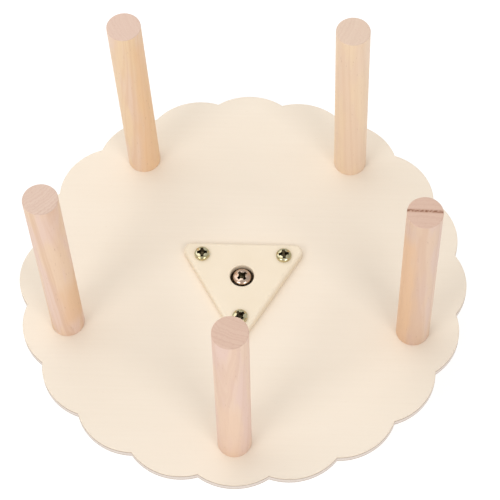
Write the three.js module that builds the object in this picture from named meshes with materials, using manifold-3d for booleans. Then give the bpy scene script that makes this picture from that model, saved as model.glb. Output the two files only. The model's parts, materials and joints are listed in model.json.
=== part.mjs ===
// Yarn swift: a scalloped plywood platter with five upright pegs that turns on a ball bearing
// above a round base board. Millimetres, +Z up, origin on the table under the pivot.

import * as THREE from 'three';
import { mergeVertices } from 'three/addons/utils/BufferGeometryUtils.js';
import Module from 'manifold-3d';

const wasm = await Module();
wasm.setup();

// ---- Driving dimensions ----

const PLATTER_RADIUS = 130;          // to the tips of the lobes
const PLATTER_THICKNESS = 4.5;
const LOBE_COUNT = 20;
const LOBE_RADIUS = 33.5;

const PEG_RADIUS = 9.5;
const PEG_HEIGHT = 130;
const PEG_CIRCLE = 103.5;            // radius of the circle that the pegs stand on
const PEG_CHAMFER = 0.5;
const PEG_STANDS = [                 // degrees off its even place, and how far its top is off plumb
  { turn: 0, lean: [1.6, -1.2] },
  { turn: 0.5, lean: [0.2, -1.1] },
  { turn: -0.5, lean: [-0.9, -0.2] },
  { turn: 1, lean: [-2.7, 0.8] },
  { turn: -1, lean: [-1.4, 1.3] },
];

const PLATE_APOTHEM = 21.9;          // centre of the triangle to the middle of a side
const PLATE_CORNER = 39;             // centre of the triangle to its clipped corners
const PLATE_THICKNESS = 5;
const PLATE_FILLET = 1.6;
const PLATE_HOLE_RADIUS = 7;
const PLATE_SCREW_CIRCLE = 27.5;

const FLANGE_THICKNESS = 5;
const BOSS_RADIUS = 12.5;
const BOSS_BORE_RADIUS = 7;          // hole under the bearing

const BEARING = { bore: 3.05, outer: 9.5, width: 6, innerLand: 4.75, outerLand: 7.7 };
const BALLS = { count: 7, radius: 1.75, trackGap: 0.12, cageGap: 0.2 };
const CAGE = { halfWidth: 0.7, bottom: -2.3, top: 0.9 };
const SEAL = { thickness: 0.3, fromMiddle: 2.6, innerGap: 0.4, outerGap: 0.15 };

const BASE_RADIUS = 90;
const BASE_THICKNESS = 9;
const BASE_CHAMFER = 1.2;
const FOOT_COUNT = 4;
const FOOT_HEIGHT = 6;
const FOOT_RADIUS = 9;
const FOOT_CIRCLE = 72;
const FOOT_SCREW_SEAT = 3;           // level of the shoulder inside a foot
const FOOT_TREAD = { inset: 2, skirtInset: 1.2, height: 0.8 };

const RUNNING_GAP = 8;               // base board to the underside of the bearing housing
const FIT_GAP = 0.3;                 // around pieces that sit in a hole
const THREAD_GAP = 0.1;              // around a screw in its nut
const BORE_GAP = 0.2;                // around the pivot screw in the washer and the bush

const COVER_SCREW = { shank: 2.5, head: 4.45, headHeight: 2.9, recess: 2.3 };
const PIVOT_SCREW = { shank: 2.95, head: 5.25, headHeight: 3.3, length: 30, recess: 3.1 };
const PEG_SCREW = { shank: 2, head: 4, headHeight: 2.2, length: 30, recess: 2 };
const FOOT_SCREW = { shank: 1.75, head: 3.5, headHeight: 2.1, length: 11, recess: 1.7 };
const HOUSING_NUT = { acrossFlats: 8, height: 4 };
const SCREW_TAIL = 1.5;              // cover screw past its nut
const SCREW_SEGMENTS = 20;
const DOME_STEPS = 5;
const SLOT_WIDTH = 0.36;             // of a recess wing, as a share of its reach
const RECESS_DEPTH = 0.7;            // as a share of the head's height
const BASE_WASHER = { radius: 9, thickness: 1.6 };
const PIVOT_COLLAR = { radius: 4.6, height: 2 };
const SPACER_RADIUS = 4.5;
const INSERT_NUT = { flange: 8, flangeHeight: 1.5, barrel: 4.5, barrelHeight: 7.5 };

// ---- Levels, from the table up ----

const BASE_TOP = FOOT_HEIGHT + BASE_THICKNESS;
const FLANGE_BOTTOM = BASE_TOP + RUNNING_GAP;
const PLATTER_BOTTOM = FLANGE_BOTTOM + FLANGE_THICKNESS;
const PLATTER_TOP = PLATTER_BOTTOM + PLATTER_THICKNESS;
const PLATE_TOP = PLATTER_TOP + PLATE_THICKNESS;
const BEARING_TOP = PLATTER_TOP;
const BEARING_BOTTOM = BEARING_TOP - BEARING.width;
const BEARING_MIDDLE = BEARING_BOTTOM + BEARING.width / 2;
const WASHER_TOP = BASE_TOP + BASE_WASHER.thickness;

const FRONT = -Math.PI / 2;          // direction of the first peg and the plate's first corner

// ---- Materials ----

const material = (color, roughness, metalness = 0) =>
  new THREE.MeshStandardMaterial({ color, roughness, metalness });

const plywood = material(0xf0e2cd, 0.6);
const dowelWood = material(0xe3c6a6, 0.6);
const mouldedPlate = material(0xf4e6c9, 0.45);
const zincSteel = material(0xc9c2ae, 0.3, 0.9);
const bearingSteel = material(0xb9bbbd, 0.2, 1);
const nylon = material(0xe9e2d0, 0.5);
const rubber = material(0x2a2a2b, 0.85);
const sealRubber = material(0x2b2520, 0.7);

// ---- Solids ----

// A mesh geometry as a manifold solid, and back.
function toSolid(geometry) {
  const bare = geometry.clone();
  bare.deleteAttribute('normal');
  bare.deleteAttribute('uv');
  const merged = mergeVertices(bare, 1e-4);
  return new wasm.Manifold(new wasm.Mesh({
    numProp: 3,
    vertProperties: new Float32Array(merged.attributes.position.array),
    triVerts: new Uint32Array(merged.index.array),
  }));
}

function toGeometry(solid) {
  const mesh = solid.getMesh();
  const geometry = new THREE.BufferGeometry();
  geometry.setAttribute('position', new THREE.BufferAttribute(mesh.vertProperties, 3));
  geometry.setIndex(new THREE.BufferAttribute(mesh.triVerts, 1));
  geometry.computeVertexNormals();
  return geometry;
}

function cut(geometry, tools) {
  let solid = toSolid(geometry);
  for (const tool of tools) {
    solid = solid.subtract(toSolid(tool));
  }
  return toGeometry(solid);
}

// A profile of [radius, height] corners, anticlockwise, turned about Z.
function turned(profile, segments = 32) {
  const points = profile.map(([radius, height]) => new THREE.Vector2(radius, height));
  const geometry = new THREE.LatheGeometry(points, segments);
  geometry.rotateX(Math.PI / 2);
  return geometry;
}

const cylinder = (radius, bottom, top, segments) =>
  turned([[0, bottom], [radius, bottom], [radius, top], [0, top]], segments);

const ring = (inner, outer, bottom, top, segments = 32) =>
  turned([[inner, bottom], [outer, bottom], [outer, top], [inner, top], [inner, bottom]], segments);

function extruded(shape, bottom, top, curveSegments = 8) {
  const depth = top - bottom;
  const geometry = new THREE.ExtrudeGeometry(shape, { depth, bevelEnabled: false, curveSegments });
  geometry.translate(0, 0, bottom);
  return geometry;
}

function roundHole(x, y, radius) {
  const path = new THREE.Path();
  path.absarc(x, y, radius, 0, 2 * Math.PI, true);
  return path;
}

const onCircle = (radius, angle) => new THREE.Vector2(radius * Math.cos(angle), radius * Math.sin(angle));

const anglesRound = (count, start = FRONT) =>
  Array.from({ length: count }, (_, i) => start + (2 * Math.PI * i) / count);

const footAngles = anglesRound(FOOT_COUNT, Math.PI / 4);

const pegSpots = anglesRound(PEG_STANDS.length).map((angle, i) =>
  onCircle(PEG_CIRCLE, angle + THREE.MathUtils.degToRad(PEG_STANDS[i].turn)));

// ---- Outlines ----

// Twenty convex arcs that meet in notches.
function scallopedOutline() {
  const centreRadius = PLATTER_RADIUS - LOBE_RADIUS;
  const halfPitch = Math.PI / LOBE_COUNT;
  const reach = Math.sqrt(LOBE_RADIUS ** 2 - (centreRadius * Math.sin(halfPitch)) ** 2);
  const notchRadius = centreRadius * Math.cos(halfPitch) + reach;
  const notch = onCircle(notchRadius, halfPitch);
  const halfSweep = Math.atan2(notch.y, notch.x - centreRadius);
  const shape = new THREE.Shape();
  for (const angle of anglesRound(LOBE_COUNT)) {
    const centre = onCircle(centreRadius, angle);
    shape.absarc(centre.x, centre.y, LOBE_RADIUS, angle - halfSweep, angle + halfSweep, false);
  }
  return shape;
}

// An equilateral triangle with its corners clipped square and every edge's ends rounded.
function triangularOutline() {
  const clipHalfWidth = (2 * PLATE_APOTHEM - PLATE_CORNER) * Math.tan(Math.PI / 6);
  const clipRadius = Math.hypot(PLATE_CORNER, clipHalfWidth);
  const clipAngle = Math.atan2(clipHalfWidth, PLATE_CORNER);
  const corners = anglesRound(3).flatMap((angle) =>
    [onCircle(clipRadius, angle - clipAngle), onCircle(clipRadius, angle + clipAngle)]);
  const shape = new THREE.Shape();
  corners.forEach((corner, i) => {
    const previous = corners[(i + corners.length - 1) % corners.length];
    const next = corners[(i + 1) % corners.length];
    const before = previous.clone().sub(corner).setLength(PLATE_FILLET).add(corner);
    const after = next.clone().sub(corner).setLength(PLATE_FILLET).add(corner);
    if (i === 0) {
      shape.moveTo(before.x, before.y);
    } else {
      shape.lineTo(before.x, before.y);
    }
    shape.quadraticCurveTo(corner.x, corner.y, after.x, after.y);
  });
  return shape;
}

function withScrewHoles(shape, centreRadius) {
  shape.holes.push(roundHole(0, 0, centreRadius));
  for (const angle of anglesRound(3)) {
    const place = onCircle(PLATE_SCREW_CIRCLE, angle);
    shape.holes.push(roundHole(place.x, place.y, COVER_SCREW.shank + FIT_GAP));
  }
  return shape;
}

// ---- Turning pieces ----

// The countersink opens downward, for a screw that comes from below.
const countersink = (screw, bottom) => turned([
  [0, bottom - 1],
  [screw.head + FIT_GAP, bottom - 1],
  [screw.head + FIT_GAP, bottom],
  [screw.shank + FIT_GAP, bottom + screw.headHeight],
  [screw.shank + FIT_GAP, bottom + PLATTER_THICKNESS + 1],
  [0, bottom + PLATTER_THICKNESS + 1],
], SCREW_SEGMENTS);

function platterGeometry() {
  const shape = withScrewHoles(scallopedOutline(), BOSS_RADIUS + FIT_GAP);
  const sinks = pegSpots.map((spot) => countersink(PEG_SCREW, PLATTER_BOTTOM).translate(spot.x, spot.y, 0));
  return cut(extruded(shape, PLATTER_BOTTOM, PLATTER_TOP), sinks);
}

// A dowel with a softened top edge and a plumb pilot hole. Its outside leans over its height,
// and both ends stay level.
function pegGeometry([leanX, leanY]) {
  const pilot = PEG_SCREW.shank + FIT_GAP;
  const pilotTop = PEG_SCREW.length - PLATTER_THICKNESS + 1;
  const geometry = turned([
    [pilot, 0],
    [PEG_RADIUS, 0],
    [PEG_RADIUS, PEG_HEIGHT - PEG_CHAMFER],
    [PEG_RADIUS - PEG_CHAMFER, PEG_HEIGHT],
    [0, PEG_HEIGHT],
    [0, pilotTop],
    [pilot, pilotTop - pilot],
    [pilot, 0],
  ]);
  const points = geometry.attributes.position;
  for (let i = 0; i < points.count; i += 1) {
    const [x, y, z] = [points.getX(i), points.getY(i), points.getZ(i)];
    if (z > pilotTop || Math.hypot(x, y) > PEG_RADIUS / 2) {
      points.setX(i, x + (leanX * z) / PEG_HEIGHT);
      points.setY(i, y + (leanY * z) / PEG_HEIGHT);
    }
  }
  return geometry;
}

const coverPlateGeometry = () =>
  extruded(withScrewHoles(triangularOutline(), PLATE_HOLE_RADIUS), PLATTER_TOP, PLATE_TOP);

// A triangular flange under the platter and a boss through it. The bearing sits in the boss,
// and the cover plate holds it down.
function housingGeometry() {
  const pocket = BEARING.outer + FIT_GAP / 2;
  const triangle = withScrewHoles(triangularOutline(), BOSS_RADIUS - 1);
  const flange = extruded(triangle, FLANGE_BOTTOM, PLATTER_BOTTOM);
  const boss = turned([
    [BOSS_BORE_RADIUS, FLANGE_BOTTOM],
    [BOSS_RADIUS, FLANGE_BOTTOM],
    [BOSS_RADIUS, PLATTER_TOP],
    [pocket, PLATTER_TOP],
    [pocket, BEARING_BOTTOM],
    [BOSS_BORE_RADIUS, BEARING_BOTTOM],
    [BOSS_BORE_RADIUS, FLANGE_BOTTOM],
  ]);
  return toGeometry(toSolid(flange).add(toSolid(boss)));
}

// ---- Screws and nuts ----

// Two crossed slots that taper to a point, opening upward at the given level.
function crossRecess(reach, top, depth) {
  const slotWidth = reach * SLOT_WIDTH;
  const half = slotWidth / 2;
  const blade = new THREE.Shape();
  blade.moveTo(-reach, 1);
  blade.lineTo(-reach, 0);
  blade.lineTo(-half, -depth);
  blade.lineTo(half, -depth);
  blade.lineTo(reach, 0);
  blade.lineTo(reach, 1);
  blade.closePath();
  const slot = new THREE.ExtrudeGeometry(blade, { depth: slotWidth, bevelEnabled: false });
  slot.translate(0, 0, -half);
  slot.rotateX(Math.PI / 2);
  slot.translate(0, 0, top);
  return [slot, slot.clone().rotateZ(Math.PI / 2)];
}

// A low domed head whose underside is at z = 0, with the shank down to -length.
function panHeadScrew(screw, length) {
  const edge = screw.headHeight * 0.45;
  const rise = screw.headHeight - edge;
  const lead = 0.4;
  const profile = [[0, -length], [screw.shank - lead, -length], [screw.shank, lead - length]];
  profile.push([screw.shank, 0], [screw.head, 0], [screw.head, edge]);
  for (let step = 1; step < DOME_STEPS; step += 1) {
    const turn = (Math.PI / 2) * (step / DOME_STEPS);
    profile.push([screw.head * Math.cos(turn), edge + rise * Math.sin(turn)]);
  }
  profile.push([0, screw.headHeight]);
  const recess = crossRecess(screw.recess, screw.headHeight, screw.headHeight * RECESS_DEPTH);
  return cut(turned(profile, SCREW_SEGMENTS), recess);
}

// A flat head at the bottom, its point up: the screw comes from below.
function countersunkScrew(screw) {
  const tip = screw.shank * 2;
  const geometry = turned([
    [0, 0],
    [screw.head, 0],
    [screw.shank, screw.headHeight],
    [screw.shank, screw.length - tip],
    [0, screw.length],
  ], SCREW_SEGMENTS);
  const recess = crossRecess(screw.recess, 0, screw.headHeight * RECESS_DEPTH);
  return cut(geometry, recess.map((slot) => slot.rotateX(Math.PI)));
}

// A pan head at the bottom, its point up.
function footScrewGeometry() {
  const geometry = panHeadScrew(FOOT_SCREW, FOOT_SCREW.length);
  return geometry.rotateX(Math.PI);
}

function hexNutGeometry({ acrossFlats, height }, bore) {
  const shape = new THREE.Shape();
  const corners = anglesRound(6, 0).map((angle) => onCircle(acrossFlats / Math.sqrt(3), angle));
  shape.setFromPoints(corners);
  shape.holes.push(roundHole(0, 0, bore));
  return extruded(shape, 0, height);
}

// ---- Bearing ----

const ballCircle = (BEARING.bore + BEARING.outer) / 2;
const trackRadius = BALLS.radius + BALLS.trackGap;
const halfWidth = BEARING.width / 2;

// Corners of an arc in the ball track, about the ball circle.
function trackArc(from, to) {
  const steps = 5;
  return Array.from({ length: steps + 1 }, (_, i) => {
    const angle = from + ((to - from) * i) / steps;
    return [ballCircle + trackRadius * Math.cos(angle), trackRadius * Math.sin(angle)];
  });
}

function outerRingGeometry() {
  const half = Math.acos((BEARING.outerLand - ballCircle) / trackRadius);
  return turned([
    [BEARING.outerLand, -halfWidth],
    [BEARING.outer, -halfWidth],
    [BEARING.outer, halfWidth],
    [BEARING.outerLand, halfWidth],
    ...trackArc(half, -half),
    [BEARING.outerLand, -halfWidth],
  ]);
}

function innerRingGeometry() {
  const half = Math.acos((ballCircle - BEARING.innerLand) / trackRadius);
  return turned([
    [BEARING.bore, -halfWidth],
    [BEARING.innerLand, -halfWidth],
    ...trackArc(Math.PI + half, Math.PI - half),
    [BEARING.innerLand, halfWidth],
    [BEARING.bore, halfWidth],
    [BEARING.bore, -halfWidth],
  ]);
}

const ballGeometry = (gap = 0) => new THREE.SphereGeometry(BALLS.radius + gap, 12, 8);

// A crown cage: a ring below the balls whose fingers reach up between them.
function cageGeometry() {
  const pockets = anglesRound(BALLS.count).map((angle) => {
    const spot = onCircle(ballCircle, angle);
    return ballGeometry(BALLS.cageGap).translate(spot.x, spot.y, 0);
  });
  const blank = ring(ballCircle - CAGE.halfWidth, ballCircle + CAGE.halfWidth, CAGE.bottom, CAGE.top);
  return cut(blank, pockets);
}

const sealGeometry = () => ring(
  BEARING.innerLand + SEAL.innerGap,
  BEARING.outerLand - SEAL.outerGap,
  -SEAL.thickness / 2,
  SEAL.thickness / 2,
);

// ---- Base pieces ----

function baseBoardGeometry() {
  const barrelBore = INSERT_NUT.barrel + FIT_GAP;
  const screwBore = PIVOT_SCREW.shank + FIT_GAP;
  const barrelTop = FOOT_HEIGHT + INSERT_NUT.barrelHeight + FIT_GAP;
  const board = turned([
    [barrelBore, FOOT_HEIGHT],
    [BASE_RADIUS - BASE_CHAMFER, FOOT_HEIGHT],
    [BASE_RADIUS, FOOT_HEIGHT + BASE_CHAMFER],
    [BASE_RADIUS, BASE_TOP - BASE_CHAMFER],
    [BASE_RADIUS - BASE_CHAMFER, BASE_TOP],
    [screwBore, BASE_TOP],
    [screwBore, barrelTop],
    [barrelBore, barrelTop],
    [barrelBore, FOOT_HEIGHT],
  ], 72);
  const pilotTop = FOOT_SCREW_SEAT + FOOT_SCREW.length + FIT_GAP;
  const pilots = footAngles.map((angle) => {
    const spot = onCircle(FOOT_CIRCLE, angle);
    const pilot = cylinder(FOOT_SCREW.shank + FIT_GAP, FOOT_HEIGHT - 1, pilotTop, SCREW_SEGMENTS);
    return pilot.translate(spot.x, spot.y, 0);
  });
  return cut(board, pilots);
}

const footGeometry = () => turned([
  [FOOT_SCREW.head + 2 * FIT_GAP, 0],
  [FOOT_RADIUS - FOOT_TREAD.inset, 0],
  [FOOT_RADIUS - FOOT_TREAD.skirtInset, FOOT_TREAD.height],
  [FOOT_RADIUS, FOOT_HEIGHT],
  [FOOT_SCREW.shank + FIT_GAP, FOOT_HEIGHT],
  [FOOT_SCREW.shank + FIT_GAP, FOOT_SCREW_SEAT],
  [FOOT_SCREW.head + 2 * FIT_GAP, FOOT_SCREW_SEAT],
  [FOOT_SCREW.head + 2 * FIT_GAP, 0],
], 24);

const insertNutGeometry = () => turned([
  [PIVOT_SCREW.shank + THREAD_GAP, -INSERT_NUT.flangeHeight],
  [INSERT_NUT.flange, -INSERT_NUT.flangeHeight],
  [INSERT_NUT.flange, 0],
  [INSERT_NUT.barrel, 0],
  [INSERT_NUT.barrel, INSERT_NUT.barrelHeight],
  [PIVOT_SCREW.shank + THREAD_GAP, INSERT_NUT.barrelHeight],
  [PIVOT_SCREW.shank + THREAD_GAP, -INSERT_NUT.flangeHeight],
]);

// ---- Assembly ----

const swift = new THREE.Group();
const base = new THREE.Group();
const rotor = new THREE.Group();
const ballTrain = new THREE.Group();
swift.add(base, rotor, ballTrain);

function place(group, name, geometry, look, x = 0, y = 0, z = 0, turn = 0) {
  const mesh = new THREE.Mesh(geometry, look);
  mesh.name = name;
  mesh.position.set(x, y, z);
  mesh.rotation.z = turn;
  group.add(mesh);
}

place(rotor, 'platter', platterGeometry(), plywood);
pegSpots.forEach(({ x, y }, i) => {
  place(rotor, `peg_${i + 1}`, pegGeometry(PEG_STANDS[i].lean), dowelWood, x, y, PLATTER_TOP);
  place(rotor, `peg_screw_${i + 1}`, countersunkScrew(PEG_SCREW), zincSteel, x, y, PLATTER_BOTTOM);
});
place(rotor, 'cover_plate', coverPlateGeometry(), mouldedPlate);
place(rotor, 'bearing_housing', housingGeometry(), mouldedPlate);
anglesRound(3).forEach((angle, i) => {
  const { x, y } = onCircle(PLATE_SCREW_CIRCLE, angle);
  const nutBottom = FLANGE_BOTTOM - HOUSING_NUT.height;
  const screw = panHeadScrew(COVER_SCREW, PLATE_TOP - nutBottom + SCREW_TAIL);
  const nut = hexNutGeometry(HOUSING_NUT, COVER_SCREW.shank + THREAD_GAP);
  place(rotor, `cover_screw_${i + 1}`, screw, zincSteel, x, y, PLATE_TOP);
  place(rotor, `housing_nut_${i + 1}`, nut, zincSteel, x, y, nutBottom, angle);
});

place(rotor, 'bearing_outer_ring', outerRingGeometry(), bearingSteel, 0, 0, BEARING_MIDDLE);
place(rotor, 'upper_seal', sealGeometry(), sealRubber, 0, 0, BEARING_MIDDLE + SEAL.fromMiddle);
place(rotor, 'lower_seal', sealGeometry(), sealRubber, 0, 0, BEARING_MIDDLE - SEAL.fromMiddle);
place(ballTrain, 'bearing_cage', cageGeometry(), nylon, 0, 0, BEARING_MIDDLE);
anglesRound(BALLS.count).forEach((angle, i) => {
  const { x, y } = onCircle(ballCircle, angle);
  place(ballTrain, `bearing_ball_${i + 1}`, ballGeometry(), bearingSteel, x, y, BEARING_MIDDLE);
});

place(base, 'bearing_inner_ring', innerRingGeometry(), bearingSteel, 0, 0, BEARING_MIDDLE);
const collarTop = BEARING_TOP + PIVOT_COLLAR.height;
const stackBore = PIVOT_SCREW.shank + BORE_GAP;
place(base, 'pivot_screw', panHeadScrew(PIVOT_SCREW, PIVOT_SCREW.length), zincSteel, 0, 0, collarTop);
place(base, 'pivot_collar', ring(stackBore, PIVOT_COLLAR.radius, BEARING_TOP, collarTop), zincSteel);
place(base, 'spacer_bush', ring(stackBore, SPACER_RADIUS, WASHER_TOP, BEARING_BOTTOM), zincSteel);
place(base, 'base_washer', ring(stackBore, BASE_WASHER.radius, BASE_TOP, WASHER_TOP), zincSteel);
place(base, 'base_board', baseBoardGeometry(), plywood);
place(base, 'insert_nut', insertNutGeometry(), zincSteel, 0, 0, FOOT_HEIGHT);
footAngles.forEach((angle, i) => {
  const { x, y } = onCircle(FOOT_CIRCLE, angle);
  place(base, `foot_${i + 1}`, footGeometry(), rubber, x, y);
  place(base, `foot_screw_${i + 1}`, footScrewGeometry(), zincSteel, x, y, FOOT_SCREW_SEAT);
});

export default swift;
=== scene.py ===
import json
import math

import bmesh
import bpy
from mathutils import Matrix, Vector


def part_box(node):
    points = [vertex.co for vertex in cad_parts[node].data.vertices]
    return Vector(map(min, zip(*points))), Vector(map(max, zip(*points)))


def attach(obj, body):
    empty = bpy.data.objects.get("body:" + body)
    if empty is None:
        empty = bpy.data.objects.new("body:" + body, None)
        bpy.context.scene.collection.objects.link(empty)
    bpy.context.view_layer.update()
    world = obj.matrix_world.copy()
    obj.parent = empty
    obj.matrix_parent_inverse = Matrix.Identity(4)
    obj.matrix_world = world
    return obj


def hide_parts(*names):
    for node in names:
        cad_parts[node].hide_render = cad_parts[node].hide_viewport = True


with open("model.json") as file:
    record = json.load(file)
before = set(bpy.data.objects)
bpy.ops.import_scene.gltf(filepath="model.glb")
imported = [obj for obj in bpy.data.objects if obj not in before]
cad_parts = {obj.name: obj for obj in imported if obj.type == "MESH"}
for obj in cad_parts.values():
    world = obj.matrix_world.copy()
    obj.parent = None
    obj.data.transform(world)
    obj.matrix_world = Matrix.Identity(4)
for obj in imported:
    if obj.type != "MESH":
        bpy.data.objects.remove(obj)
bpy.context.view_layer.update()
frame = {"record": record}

# ---- Driving dimensions, in millimetres ----

MM = 0.001
FRONT = -math.pi / 2            # direction of the first peg, the first screw and the plate's first corner

LOBE_COUNT = 20
LOBE_RADIUS = 33.5
LOBE_STEPS = 26
PLATTER_EDGE = 0.35             # easing of the platter's cut edge
VENEER = 0.85                   # thickness of each face ply

PEG_COUNT = 5
PEG_RADIUS = 9.5
PEG_EASING = 0.5
PEG_PILOT_TOP = 26.5            # reach of the screw's blind hole above the peg's foot
PEG_SIDE_STEPS = 24             # rings up a peg's side, which lean with it

PLATE_APOTHEM = 21.9
PLATE_CORNER = 39.0
PLATE_CORNER_FILLET = 3.5
PLATE_EDGE = 1.7
PLATE_HOLE = 7.0
PLATE_HOLE_EASING = 0.7
HOLE_SHADE_HEIGHT = 1.1              # painted shade: height of the brown band at the foot of the plate's hole, where the gap round the head lies in shadow
SCREW_CIRCLE = 27.5
SCREW_HOLE = 2.8

BOSS_RADIUS = 12.5
BOSS_POCKET = 9.65
BOSS_BORE = 7.0

NUT_APOTHEM = 4.0

BEARING_BORE = 3.05
BEARING_RADIUS = 9.5
BALL_COUNT = 7
BALL_RADIUS = 1.75
BALL_CIRCLE = 6.275
TRACK_RADIUS = 1.87
INNER_LAND = 4.75
OUTER_LAND = 7.7
SEAL_GAP = 0.4                  # between a seal's lip and the inner ring
SEAL_GROOVE = {"from_rim": 0.35, "slope": 0.15, "floor": 0.4, "depth": 0.1}
CAGE_HALF_WIDTH = 0.7
CAGE_GAP = 0.2                  # round each ball in its pocket

BOARD_EASING = 1.2
INSERT_BARREL = 4.5
INSERT_HOLE = {"radius": 4.8, "depth": 7.8}

FOOT_CIRCLE = 72
FOOT_COUNT = 4

COVER_SCREW = {"shank": 2.5, "head": 4.45, "rise": 2.9, "reach": 3.4, "pitch": 0.8}
PIVOT_SCREW = {"shank": 2.95, "head": 5.25, "rise": 3.3, "reach": 3.5, "pitch": 1.0}
PEG_SCREW = {"shank": 2.0, "head": 4.0, "rise": 2.2, "reach": 2.3, "pitch": 1.7}
FOOT_SCREW = {"shank": 1.75, "head": 3.5, "rise": 2.1, "reach": 1.9, "pitch": 1.3}

FIT_GAP = 0.3                   # round a screw or the boss in its hole
BORE_GAP = 0.2                  # round the pivot screw in the washer, bush and collar
THREAD_GAP = 0.1                # round a screw in its nut
ARC_STEP = math.radians(15)     # turn between two points of a fillet
DOME_STEPS = 12
FLAT_MARGIN = 0.4               # flat strip inside an eased edge
SHARP = 40                      # degrees: a steeper edge than this stays crisp

record = frame["record"]
body_of = {node: body for body, nodes in record["behaviour"]["bodies"].items() for node in nodes}


def lows_and_highs(node):
    """A CAD node's box in millimetres."""
    low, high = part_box(node)
    return low / MM, high / MM


def centre_of(node):
    low, high = lows_and_highs(node)
    return (low + high) / 2


platter_low, platter_high = lows_and_highs("platter")
PLATTER_BOTTOM, PLATTER_TOP = platter_low.z, platter_high.z
PLATTER_RADIUS = (platter_high.y - platter_low.y) / 2
PLATE_TOP = lows_and_highs("cover_plate")[1].z
FLANGE_BOTTOM = lows_and_highs("bearing_housing")[0].z
BEARING_BOTTOM, BEARING_TOP = (corner.z for corner in lows_and_highs("bearing_outer_ring"))
BEARING_MIDDLE = (BEARING_BOTTOM + BEARING_TOP) / 2
BOARD_BOTTOM, BOARD_TOP = (corner.z for corner in lows_and_highs("base_board"))

# ---- Outlines and profiles ----


def on_circle(radius, angle):
    return Vector((radius * math.cos(angle), radius * math.sin(angle)))


def angles_round(count, start=FRONT):
    return [start + 2 * math.pi * step / count for step in range(count)]


def turned_by(vector, angle):
    cosine, sine = math.cos(angle), math.sin(angle)
    return Vector((cosine * vector.x - sine * vector.y, sine * vector.x + cosine * vector.y))


def rounded(corners, closed=False):
    """Corners (x, y) or (x, y, fillet radius), with each fillet drawn as a short arc."""
    points = []
    for index, corner in enumerate(corners):
        here = Vector(corner[:2])
        fillet = corner[2] if len(corner) > 2 else 0
        at_end = not closed and index in (0, len(corners) - 1)
        if not fillet or at_end:
            points.append(here)
            continue
        before = Vector(corners[index - 1][:2]) - here
        after = Vector(corners[(index + 1) % len(corners)][:2]) - here
        half = before.angle(after) / 2
        centre = here + (before.normalized() + after.normalized()).normalized() * fillet / math.sin(half)
        spoke = here + before.normalized() * fillet / math.tan(half) - centre
        side = math.copysign(1, before.y * after.x - before.x * after.y)
        sweep = (math.pi - 2 * half) * side
        steps = max(2, round(abs(sweep) / ARC_STEP))
        points.extend(centre + turned_by(spoke, sweep * step / steps) for step in range(steps + 1))
    return points


def arc(centre_x, centre_y, radius, start, end, steps):
    return [
        (
            centre_x + radius * math.cos(start + (end - start) * step / steps),
            centre_y + radius * math.sin(start + (end - start) * step / steps),
        )
        for step in range(steps + 1)
    ]


def scalloped(inset):
    """The platter's outline: twenty convex arcs that meet in notches."""
    radius = LOBE_RADIUS - inset
    centre_radius = PLATTER_RADIUS - LOBE_RADIUS
    half_pitch = math.pi / LOBE_COUNT
    reach = math.sqrt(radius**2 - (centre_radius * math.sin(half_pitch)) ** 2)
    notch = on_circle(centre_radius * math.cos(half_pitch) + reach, half_pitch)
    half_sweep = math.atan2(notch.y, notch.x - centre_radius)
    points = []
    for angle in angles_round(LOBE_COUNT):
        centre = on_circle(centre_radius, angle)
        lobe = arc(centre.x, centre.y, radius, angle - half_sweep, angle + half_sweep, LOBE_STEPS)
        points.extend(Vector(point) for point in lobe[:-1])
    return points


def clipped_triangle(inset):
    """The outline of the cover plate and the flange: a triangle with clipped, rounded corners."""
    apothem, corner = PLATE_APOTHEM - inset, PLATE_CORNER - inset
    half_width = (2 * apothem - corner) * math.tan(math.pi / 6)
    corners = []
    for angle in angles_round(3):
        for side in (-1, 1):
            point = turned_by(Vector((corner, side * half_width)), angle)
            corners.append((point.x, point.y, PLATE_CORNER_FILLET - inset))
    return rounded(corners, closed=True)


def round_outline(radius, segments):
    def outline(inset):
        return [on_circle(radius - inset, angle) for angle in angles_round(segments)]
    return outline


def slab_wall(bottom, top, easing, bottom_easing=None):
    """(inset, height) steps from a slab's lower face, round its edge, to its upper face."""
    lower = easing if bottom_easing is None else bottom_easing
    return rounded([
        (lower + FLAT_MARGIN, bottom), (0, bottom, lower), (0, top, easing), (easing + FLAT_MARGIN, top),
    ])


def hole_wall(radius, bottom, top, easing=0.2):
    """(radius, height) steps up the wall of a round hole with eased ends."""
    wide = radius + 2 * easing
    return rounded([(wide, bottom), (radius, bottom, easing), (radius, top, easing), (wide, top)])


# ---- Meshes ----


def add_ring(bm, points, height):
    return [bm.verts.new((point.x * MM, point.y * MM, height * MM)) for point in points]


def join_rings(bm, lower, upper, look=0):
    """Quads between two rings, or a fan where one of them is a single point on the axis."""
    count = max(len(lower), len(upper))
    if count == 1:
        return
    for index in range(count):
        following = (index + 1) % count
        corners = [lower[index % len(lower)], lower[following % len(lower)]]
        corners += [upper[following % len(upper)], upper[index % len(upper)]]
        face = bm.faces.new(list(dict.fromkeys(corners)))
        face.material_index = look


def loop_edges(bm, ring):
    return [bm.edges.get((ring[index - 1], ring[index])) for index in range(len(ring))]


def make_object(name, bm):
    bmesh.ops.recalc_face_normals(bm, faces=bm.faces)
    mesh = bpy.data.meshes.new(name)
    bm.to_mesh(mesh)
    bm.free()
    mesh.shade_smooth()
    mesh.set_sharp_from_angle(angle=math.radians(SHARP))
    made = bpy.data.objects.new(name, mesh)
    bpy.context.scene.collection.objects.link(made)
    return made


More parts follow.
